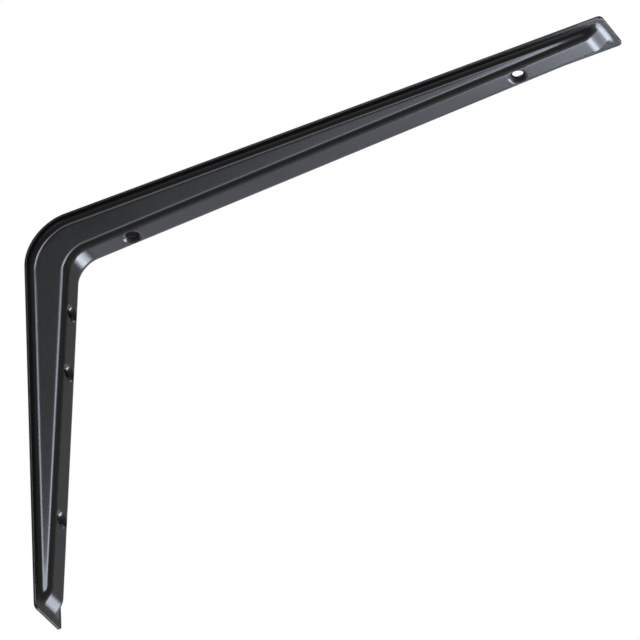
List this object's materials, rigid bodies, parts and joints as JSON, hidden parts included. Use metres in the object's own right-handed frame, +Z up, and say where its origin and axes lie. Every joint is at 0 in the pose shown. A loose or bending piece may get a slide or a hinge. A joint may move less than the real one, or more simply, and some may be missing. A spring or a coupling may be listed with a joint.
{
  "type": "shelf bracket",
  "caption": "L-shaped shelf bracket pressed from one steel strip, with a tapering hollow rib on the inside of the L and dimpled screw holes along its crest.",
  "frame": {"origin": "on the wall plane, in the middle of the flat tab at the lower end of the wall arm", "axes": "+X points out from the wall along the shelf arm, +Y along the wall across the strip, +Z up"},
  "size_m": [0.3, 0.023, 0.2125],
  "materials": {
    "coat": "satin black powder coat"
  },
  "bodies": {
    "root": {"bracket": "coat"}
  },
  "joints": []
}
